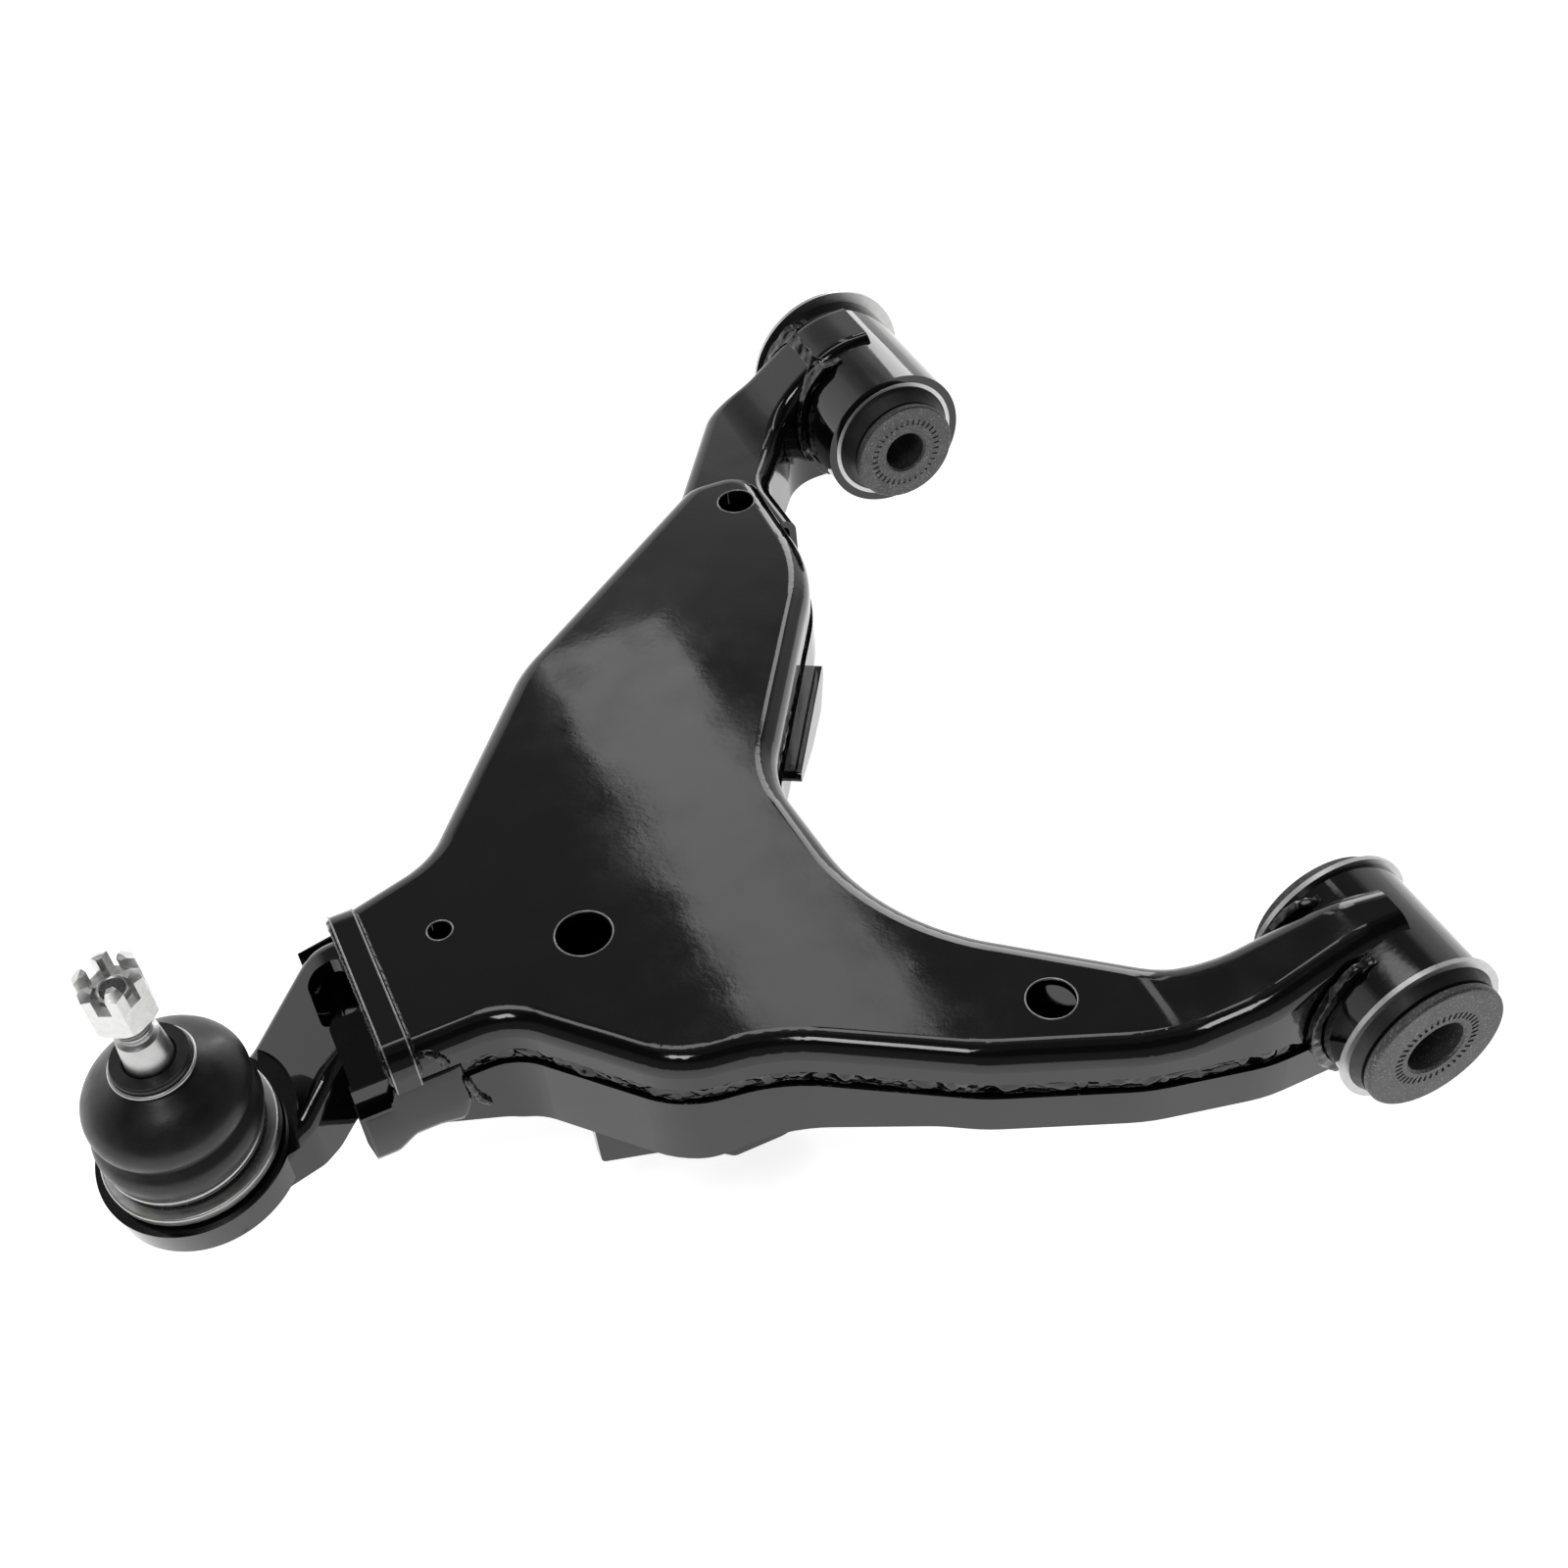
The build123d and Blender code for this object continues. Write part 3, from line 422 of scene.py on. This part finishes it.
# (radius, height above the ball's centre): taper and relief groove, then the chamfered tip
SHANK_LOW = [
    (8.9, 8.0), (9.0, 44.0), (10.6, 46.0), (8.2, 76.0),
    (8.0, 76.3), (6.3, 76.8), (6.1, 77.4), (6.1, 78.6),
]
SHANK_HIGH = [(6.2, 103.0), (5.9, 103.5), (5.2, 103.5), (4.9, 103.1)]
TIP_DISH = 0.1
END_DISC = [(0.05, 103.15), (4.7, 103.15), (4.9, 103.0), (4.9, 102.6), (0.05, 102.6)]


def thread_radius(z, share):
    """Radius of the thread at a height and a share of the way round."""
    phase = (z / PITCH - share) % 1
    groove = max(0.0, 1 - abs(phase - 0.5) / GROOVE_HALF)
    fade = min(1, (z - THREAD_LOW) / FADE_LOW, (THREAD_HIGH - z) / FADE_HIGH + FADE_REST)
    return THREAD_R - FADE_DROP * (1 - fade) - THREAD_DEPTH * groove * fade


def threaded_stud():
    """Taper, relief groove and a real helical thread, with a recessed end."""
    segments = 72
    steps = int((THREAD_HIGH - THREAD_LOW) / PITCH * ROWS_PER_PITCH)
    rows = list(SHANK_LOW)
    rows += [(None, THREAD_LOW + (THREAD_HIGH - THREAD_LOW) * i / steps) for i in range(steps + 1)]
    rows += SHANK_HIGH
    rings = []
    for radius, z in rows:
        ring = []
        for index in range(segments):
            angle = index * math.tau / segments
            r = thread_radius(z, index / segments) if radius is None else radius
            ring.append(STUD @ (Vector((r * math.cos(angle), r * math.sin(angle), z)) * MM))
        rings.append(ring)
    points, faces = skin(rings, closed_loop=False)
    count = len(points)
    low_middle = STUD @ (Vector((0, 0, rows[0][1])) * MM)
    high_middle = STUD @ (Vector((0, 0, rows[-1][1] - TIP_DISH)) * MM)
    points += [low_middle, high_middle]
    last = count - segments
    for index in range(segments):
        after = (index + 1) % segments
        faces.append((after, index, count))
        faces.append((last + index, last + after, count + 1))
    shank = new_piece("stud_shank", points, faces, FINISHES["bare_steel"])
    ball_piece = turned_piece("stud_ball", ball_profile(), 64, "bare_steel")
    end = turned_piece("stud_end_face", END_DISC, 48, "phosphated_steel")
    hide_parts("ball_stud")
    for piece in (shank, ball_piece, end):
        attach(piece, "stud")


def ball_profile():
    """Half a circle, kept a hair off the axis at both poles."""
    turns = [math.pi * row / BALL_ROWS for row in range(BALL_ROWS + 1)]
    profile = [(BALL_R * math.sin(turn), -BALL_R * math.cos(turn)) for turn in turns]
    profile[0], profile[-1] = (0.01, -BALL_R), (0.01, BALL_R)
    return profile


def turned_piece(name, profile, segments, slot_name):
    """A closed profile turned about the stud's axis."""
    points, faces = skin(lathe_rings(profile, STUD, segments))
    return new_piece(name, points, faces, FINISHES[slot_name])


boot()
lip_ring()
threaded_stud()


# ---------------------------------------------------------------- welds
VOXEL = 0.8
# (size of a second set of lumps, its height), as shares of the first
FINE_LUMPS = (0.35, 0.3)


def lumpy(node_object, lump, height, middle):
    """Remesh a plain weld strip and raise irregular lumps on it."""
    remesh = node_object.modifiers.new("grid", "REMESH")
    remesh.mode = "VOXEL"
    remesh.voxel_size = VOXEL * MM
    remesh.use_smooth_shade = True
    fine_size, fine_height = FINE_LUMPS
    for index, (size, tall, level) in enumerate((
        (lump, height, middle),
        (lump * fine_size, height * fine_height, 0.5),
    )):
        clouds = bpy.data.textures.new(f"lumps_{index}", "CLOUDS")
        clouds.noise_scale = size * MM
        clouds.noise_depth = 1
        push = node_object.modifiers.new("lumps", "DISPLACE")
        push.texture = clouds
        push.texture_coords = "LOCAL"
        push.strength = tall * MM
        push.mid_level = level
    smooth = node_object.modifiers.new("melt", "SMOOTH")
    smooth.iterations = 3


# (lump, height, level of the noise that stays where it is)
lumpy(NODES["shell_seam_weld"], 9, 3.4, 1.0)
lumpy(NODES["rear_eye_weld"], 7, 1.8, 0.8)
lumpy(NODES["front_eye_weld"], 7, 1.8, 0.9)


def tube(name, rings, material):
    """A closed tube in the given material that belongs to the arm."""
    points, faces = skin(rings, closed_loop=False)
    cap_ends(points, faces, len(rings[0]))
    piece = new_piece(name, points, faces, material)
    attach(piece, "arm")


# distance between a bead's rings, and the least and most that it swells to
BEAD_STEP = 0.9
SWELL_LOW, SWELL_HIGH, SWELL_PULL = 0.72, 1.3, 0.45
# a bead starts at this share of its radius and gains the second number at each ring
TAPER_START, TAPER_GAIN = 0.25, 0.35
RIPPLE, RIPPLE_TURN = 0.10, 2.1


def bead(name, path, radius, seed, segments=14):
    """An irregular weld bead along a path of points in millimetres."""
    dice = random.Random(seed)
    points = [Vector(point) * MM for point in path]
    fine = []
    for start, end in zip(points, points[1:]):
        count = max(2, int((end - start).length / (BEAD_STEP * MM)))
        fine += [start.lerp(end, step / count) for step in range(count)]
    fine.append(points[-1])
    rings = []
    swell = 1.0
    for index, centre in enumerate(fine):
        side, across = cross_axes(fine, index)
        swell += (dice.uniform(SWELL_LOW, SWELL_HIGH) - swell) * SWELL_PULL
        taper = min(1.0, TAPER_START + min(index, len(fine) - 1 - index) * TAPER_GAIN)
        ripple = 1 + RIPPLE * math.sin(index * RIPPLE_TURN)
        size = radius * MM * swell * taper * ripple
        rings.append(circle_ring(centre, side, across, size, segments))
    tube(name, rings, FINISHES["black_paint"])


# the mouth: strap along Y at x -346 to -336 over the plate at z 11, side walls at y 130 and 214
MOUTH_NEAR, MOUTH_FAR, PLATE = 130.0, 214.0, 11.0
STRAP_END = [(-333, 131.5, 8.6), (-329, 130.4, 6.2), (-326, 130.2, 2.0), (-325, 130.2, -3.5)]


def strap_welds():
    """Beads along both long edges of the strap over the mouth, and the flared one at its near end."""
    # (distance in from a side wall, z), from the wall's foot up to the plate
    rise = [(-0.6, -2), (-0.3, 4), (3, 9), (8, PLATE)]
    for name, x, seed in (("strap_weld_inner", -335.4, 3), ("strap_weld_outer", -346.4, 5)):
        path = [(x, MOUTH_NEAR + inward, z) for inward, z in rise]
        path += [(x, MOUTH_FAR - inward, z) for inward, z in reversed(rise)]
        bead(name, path, 1.1, seed)
    bead("strap_end_weld", STRAP_END, 1.9, 7)


# the cheeks run from this x, over this length, and curve up beyond this share of it
CHEEK_X, CHEEK_LENGTH, CURVE_START = -361.0, 41.0, 0.86
# share of the depth that is left at the end of that curve
CURVE_DEPTH = 0.62
CHEEK_STATIONS = 26
# reach below the plane of the pivots, its rise beside the strap and its fall behind the strap
CHEEK_REACH, CHEEK_RISE, CHEEK_FALL = 39.2, 5.6, 3.5
RISE_X, RISE_LENGTH = -352, 8
FALL_X, FALL_LENGTH = -334, 14
# z of the upper edge, and its step down in front of the strap
CHEEK_TOP, CHEEK_STEP = -4.2, 9.4
STEP_X, STEP_LENGTH = -346, 4
# z at which the curve of the lower edge starts
CHEEK_SHOULDER = -13
# (x, z) of the corner behind each cheek, down which its bead runs
CHEEK_BEAD = [(-320, -12), (-319, -19), (-317, -27), (-313, -33)]


def cheek_reach(x):
    """How far below the plane of the pivots a cheek's lower edge lies."""
    reach = CHEEK_REACH
    if x >= RISE_X:
        reach -= CHEEK_RISE * min(1, (x - RISE_X) / RISE_LENGTH)
    if x > FALL_X:
        reach += CHEEK_FALL * (x - FALL_X) / FALL_LENGTH
    return reach


def cheek_profile(share):
    """(distance out from the wall, z) round a cheek's section, part of the way along it."""
    x = CHEEK_X + CHEEK_LENGTH * share
    mouth_side = max(0.0, min(1.0, (STEP_X - x) / STEP_LENGTH))
    top = CHEEK_TOP - CHEEK_STEP * mouth_side
    end = 1 - max(0.0, (share - CURVE_START) / (1 - CURVE_START)) ** 2
    bulge = 0.3 + end
    depth = (cheek_reach(x) + CHEEK_SHOULDER) * (CURVE_DEPTH + (1 - CURVE_DEPTH) * end)
    low = CHEEK_SHOULDER - depth
    outside = [(0.1, top), (bulge * 0.6, top - 2.5), (bulge, top - 6), (bulge + 0.3, -24)]
    outside += [(bulge + 0.4, low + 3), (bulge - 0.1, low + 0.9), (bulge - 1.4, low)]
    inside = [(-3.4, low + 0.2), (-3.4, low + 2.2), (-1.6, low + 3.4), (-1.6, top - 3), (-1.6, top)]
    return x, outside + inside


def cheek(name, wall_y, way):
    """The upper shell's side wall beside the mouth, which runs down past the seam in one piece."""
    rings = []
    for index in range(CHEEK_STATIONS + 1):
        x, profile = cheek_profile(index / CHEEK_STATIONS)
        rings.append([Vector((x, wall_y + way * out, z)) * MM for out, z in profile])
    points, faces = skin(rings, closed_loop=False)
    cap_ends(points, faces, len(rings[0]))
    if way > 0:
        faces = [tuple(reversed(face)) for face in faces]
    piece = new_piece(name, points, faces, FINISHES["black_paint"])
    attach(piece, "arm")
    wall = wall_y + way * 1.2
    bead(name + "_weld", [(x, wall, z) for x, z in CHEEK_BEAD], 1.5, 11)


# painted highlight material for the bright rims of the holes and the strap's edges
EDGE_HIGHLIGHT_PAINT = edge_highlight_grey("painted_edge_highlight")
RIM = 0.42
EDGE_R = 0.4


def sweep_highlight_line(name, path, segments=10):
    """A fine even line of painted highlight along an edge."""
    rings = []
    for index, centre in enumerate(path):
        side, across = cross_axes(path, index)
        rings.append(circle_ring(centre, side, across, EDGE_R * MM, segments))
    tube(name, rings, EDGE_HIGHLIGHT_PAINT)


def rim_highlight_ring(name, x, y, radius, segments=10):
    """A thin ring of painted highlight round the rim of a hole punched through the plate."""
    angles = [step * math.tau / segments for step in range(segments)]
    profile = [(radius + RIM * (0.7 + math.cos(a)), RIM * math.sin(a) - 0.1) for a in angles]
    place = Matrix.Translation(Vector((x, y, PLATE)) * MM)
    points, faces = skin(lathe_rings(profile, place, 72))
    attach(new_piece(name, points, faces, EDGE_HIGHLIGHT_PAINT), "arm")


def strap_edge_highlights():
    """Lines of painted highlight along the two long edges of the strap, down over both of its rounded
    corners.
    """
    corner, stand, foot = 11.5, 2.5, -4.5
    near, far, top = MOUTH_NEAR - stand, MOUTH_FAR + stand, PLATE + stand
    # each line is a painted highlight along one of the strap's edges
    for name, x in (("strap_highlight_inner", -336.2), ("strap_highlight_outer", -345.8)):
        path = [Vector((x, near, foot))]
        for start, y in ((math.pi, near + corner), (math.pi / 2, far - corner)):
            for step in range(9):
                angle = start - step * math.pi / 16
                y_place = y + corner * math.cos(angle)
                z_place = top - corner + corner * math.sin(angle)
                path.append(Vector((x, y_place, z_place)))
        path.append(Vector((x, far, foot)))
        sweep_highlight_line(name, [point * MM for point in path])


# (x, y, radius) of the plate's holes
HOLES = {
    "hole_highlight_large": (-258, 155, 11.3),
    "hole_highlight_small": (-308, 184, 4.9),
    "hole_highlight_leg": (-115, 41, 9.4),
    "hole_highlight_nose": (-95, 378, 8.6),
}
# a ring of painted highlight round each hole's rim
for hole_name, (hole_x, hole_y, hole_radius) in HOLES.items():
    rim_highlight_ring(hole_name, hole_x, hole_y, hole_radius)
strap_edge_highlights()
strap_welds()
cheek("near_cheek", MOUTH_NEAR, -1)
cheek("far_cheek", MOUTH_FAR, 1)


# ---------------------------------------------------------------- edges
BROKEN_EDGES = {
    "upper_shell": 0.9, "lower_shell": 0.9, "front_leg_upper": 0.9, "front_leg_lower": 0.9,
    "mouth_band": 0.8, "mouth_tab": 0.9, "ball_joint_carrier": 1.0,
    "rear_eye_tube": 0.6, "front_eye_tube": 0.8,
    "damper_ear_near": 0.8, "damper_ear_far": 0.8, "damper_bracket_web": 0.8, "side_gusset": 0.8,
    "rear_bush_outer_sleeve": 0.5, "front_bush_outer_sleeve": 0.5, "castle_nut": 0.35,
}
SHARPEST = 38


def break_edges(node_object, width):
    """A small round on a solid's sharp edges."""
    bevel = node_object.modifiers.new("edge", "BEVEL")
    bevel.width = width * MM
    bevel.segments = 3
    bevel.limit_method = "ANGLE"
    bevel.angle_limit = math.radians(SHARPEST)


for name, width in BROKEN_EDGES.items():
    break_edges(NODES[name], width)


# ---------------------------------------------------------------- studio
# (sine of the elevation, light) of the room above the floor
SKY = [
    (0.0, 1.1), (0.42, 1.0), (0.56, 0.8), (0.61, 0.45),
    (0.67, 0.2), (0.9, 0.16), (0.97, 0.6), (1.0, 0.6),
]
# (Y of the direction, share of that light): the room is dim towards -Y
DEPTH = [(0.0, 0.16), (0.25, 0.4), (0.6, 1.0), (1.0, 1.0)]
FLOOR_HALF = 6.0
FLOOR_GLOW = 0.85


def pale_floor():
    """A floor that glows a little, so that it stays near white."""
    low = cad_box[0][2]
    half = FLOOR_HALF
    corners = [(-half, -half, low), (half, -half, low), (half, half, low), (-half, half, low)]
    mesh = bpy.data.meshes.new("floor")
    mesh.from_pydata(corners, [], [(0, 1, 2, 3)])
    floor = bpy.data.objects.new("floor", mesh)
    bpy.context.scene.collection.objects.link(floor)
    n = Nodes("pale_floor")
    n.set(Specular_IOR_Level=0.1)
    n.colour(n.mix(n.noise(0.4, 2), (0.86, 0.86, 0.86), (0.90, 0.90, 0.90)))
    n.roughness(n.ramp(n.noise(0.1, 2), 0.3, 0.7, 0.7, 0.9))
    n.set(Emission_Color=(1, 1, 1, 1), Emission_Strength=FLOOR_GLOW)
    floor.data.materials.append(n.material)


def light_ramp(tree, source, stations):
    """Light as a smooth function of one part of the view direction."""
    ramp = tree.nodes.new("ShaderNodeValToRGB")
    ramp.color_ramp.interpolation = "EASE"
    steps = ramp.color_ramp.elements
    steps[0].position, steps[1].position = stations[0][0], stations[-1][0]
    for place, _ in stations[1:-1]:
        steps.new(place)
    for step, (_, light) in zip(steps, stations):
        step.color = (light, light, light, 1)
    tree.links.new(source, ramp.inputs["Fac"])
    return ramp.outputs["Color"]


def room():
    """The light of the room, from its height and from how far back it lies."""
    world = bpy.data.worlds.new("studio")
    bpy.context.scene.world = world
    world.use_nodes = True
    tree = world.node_tree
    direction = tree.nodes.new("ShaderNodeTexCoord")
    parts = tree.nodes.new("ShaderNodeSeparateXYZ")
    tree.links.new(direction.outputs["Generated"], parts.inputs["Vector"])
    height = light_ramp(tree, parts.outputs["Z"], SKY)
    depth = light_ramp(tree, parts.outputs["Y"], DEPTH)
    both = tree.nodes.new("ShaderNodeMix")
    both.data_type = "RGBA"
    both.blend_type = "MULTIPLY"
    both.inputs["Factor"].default_value = 1
    tree.links.new(height, both.inputs[MIX_A])
    tree.links.new(depth, both.inputs[MIX_B])
    tree.links.new(both.outputs[MIX_RESULT], tree.nodes["Background"].inputs["Color"])


# name: (centre, aim, size, power)
SOFTBOXES = {
    "band": ((0.27, 1.55, 1.6), (0.27, 1.55, 0), (0.22, 1.2), 1.5),
    "top_line": ((-0.2, 0.95, 2.2), (-0.2, 0.2, 0), (2.2, 0.35), 6.5),
    "key": ((-0.9, -0.5, 1.8), (-0.2, 0.2, 0), (0.5, 0.5), 6),
    "back": ((0.9, 1.6, 0.9), (-0.2, 0.2, 0), (0.4, 1.2), 5),
}


def softbox(name, centre, aim, size, power):
    """A soft rectangular light at centre that faces aim."""
    light = bpy.data.lights.new(name, "AREA")
    light.shape = "RECTANGLE"
    light.size, light.size_y = size
    light.energy = power
    thing = bpy.data.objects.new(name, light)
    bpy.context.scene.collection.objects.link(thing)
    thing.location = centre
    thing.rotation_euler = (Vector(aim) - Vector(centre)).to_track_quat("-Z", "Y").to_euler()


CAMERA_PLACE = Vector((-0.3616, -0.3716, 0.6071))
CAMERA_ELEVATION = 44.82
CAMERA_AZIMUTH = -20.14
CAMERA_ROLL = 6.4
CAMERA_LENS = 46.89
SENSOR_WIDTH = 36


def camera():
    """The camera, aimed by its elevation, azimuth and roll."""
    data = bpy.data.cameras.new("camera")
    data.lens = CAMERA_LENS
    data.sensor_width = SENSOR_WIDTH
    data.clip_start = 0.01
    thing = bpy.data.objects.new("camera", data)
    bpy.context.scene.collection.objects.link(thing)
    a, e, r = (math.radians(v) for v in (CAMERA_AZIMUTH, CAMERA_ELEVATION, CAMERA_ROLL))
    back = Vector((math.sin(a) * math.cos(e), -math.cos(a) * math.cos(e), math.sin(e)))
    right = Vector((math.cos(a), math.sin(a), 0))
    down = (-back).cross(right)
    turned_right = math.cos(r) * right + math.sin(r) * down
    up = math.sin(r) * right - math.cos(r) * down
    turn = Matrix((turned_right, up, back)).transposed().to_4x4()
    thing.matrix_world = Matrix.Translation(CAMERA_PLACE) @ turn
    bpy.context.scene.camera = thing


camera()
pale_floor()
room()
for name, settings in SOFTBOXES.items():
    softbox(name, *settings)
bpy.context.scene.view_settings.view_transform = "Standard"
